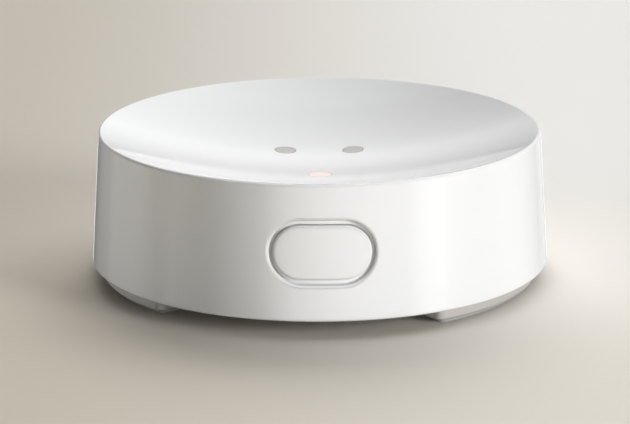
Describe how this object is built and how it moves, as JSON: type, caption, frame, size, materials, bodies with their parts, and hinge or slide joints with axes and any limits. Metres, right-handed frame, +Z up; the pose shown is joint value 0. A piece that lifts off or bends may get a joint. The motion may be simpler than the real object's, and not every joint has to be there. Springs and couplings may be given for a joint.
{
  "type": "water leak sensor",
  "caption": "Round puck water leak sensor with a dished top, flush drip contacts, a light window, a side push button and a twist-off base cover on arc feet.",
  "frame": {"origin": "on the floor under the middle of the round body", "axes": "+Z up along the body's axis, -Y towards the side button, +X to the right as seen from the button side"},
  "size_m": [0.06, 0.06, 0.0196],
  "materials": {
    "white_gloss_shell": "polished white moulding",
    "white_satin_base": "fine satin moulding",
    "frame_plastic": "satin moulding",
    "clear_guide": "frosted clear plastic",
    "nickel_contact": "satin nickel",
    "steel_screw": "zinc-plated steel",
    "spring_metal": "gold-plated spring strip",
    "sounder_brass": "rolled brass",
    "sounder_ceramic": "silvered ceramic",
    "silicone_seal": "matt silicone",
    "pad_rubber": "matt grey silicone",
    "board_laminate": "green solder mask",
    "black_component": "moulded epoxy",
    "tinned_can": "tinned steel",
    "lamp_body": "clear epoxy over white",
    "cell_steel": "bright nickel-plated steel",
    "cell_gasket": "moulded gasket"
  },
  "bodies": {
    "body_shell": {"housing": "white_gloss_shell", "button_seal": "silicone_seal", "button_retainer": "frame_plastic", "drip_contact_left": "nickel_contact", "drip_contact_right": "nickel_contact", "drip_contact_seals": "silicone_seal", "light_guide": "clear_guide", "main_board": "board_laminate", "indicator_lamp": "lamp_body", "tact_switch": "black_component", "contact_fingers": "spring_metal", "sounder_plate": "sounder_brass", "sounder_ceramic": "sounder_ceramic", "sounder_fingers": "spring_metal", "radio_module": "board_laminate", "radio_shield": "tinned_can", "antenna": "spring_metal", "control_chip": "black_component", "small_parts": "tinned_can", "cell_can": "cell_steel", "cell_cap": "cell_steel", "cell_gasket": "cell_gasket", "cell_plus_contact": "spring_metal", "cell_minus_contact": "spring_metal", "inner_frame": "frame_plastic", "frame_screws": "steel_screw", "probe_pin_sleeves": "spring_metal"},
    "button": {"button_cap": "white_gloss_shell"},
    "plunger": {"switch_plunger": "frame_plastic"},
    "cover": {"base_cover": "white_satin_base", "cover_seal": "silicone_seal", "foot_pads": "pad_rubber", "floor_probe_left": "nickel_contact", "floor_probe_right": "nickel_contact", "floor_probe_seals": "silicone_seal"},
    "pin_left": {"probe_pin_tip_left": "spring_metal"},
    "pin_right": {"probe_pin_tip_right": "spring_metal"}
  },
  "joints": [
    {"name": "button_press", "type": "slide", "parent": "body_shell", "child": "button", "axis": [0, 1, 0], "range_m": [0, 0.0004], "stiffness_N_per_m": 400, "springref_m": -0.0004},
    {"name": "plunger_press", "type": "slide", "parent": "body_shell", "child": "plunger", "axis": [0, 1, 0], "range_m": [0, 0.0004]},
    {"name": "cover_twist", "type": "hinge", "parent": "body_shell", "child": "cover", "pos_m": [0, 0, 0.0027], "axis": [0, 0, -1], "range_deg": [0, 25]},
    {"name": "pin_left_press", "type": "slide", "parent": "body_shell", "child": "pin_left", "axis": [0, 0, 1], "range_m": [0, 0.0005], "stiffness_N_per_m": 100, "springref_m": -0.001},
    {"name": "pin_right_press", "type": "slide", "parent": "body_shell", "child": "pin_right", "axis": [0, 0, 1], "range_m": [0, 0.0005], "stiffness_N_per_m": 100, "springref_m": -0.001}
  ],
  "couplings": [
    {"joint": "plunger_press", "follows": "button_press", "ratio": 1}
  ]
}
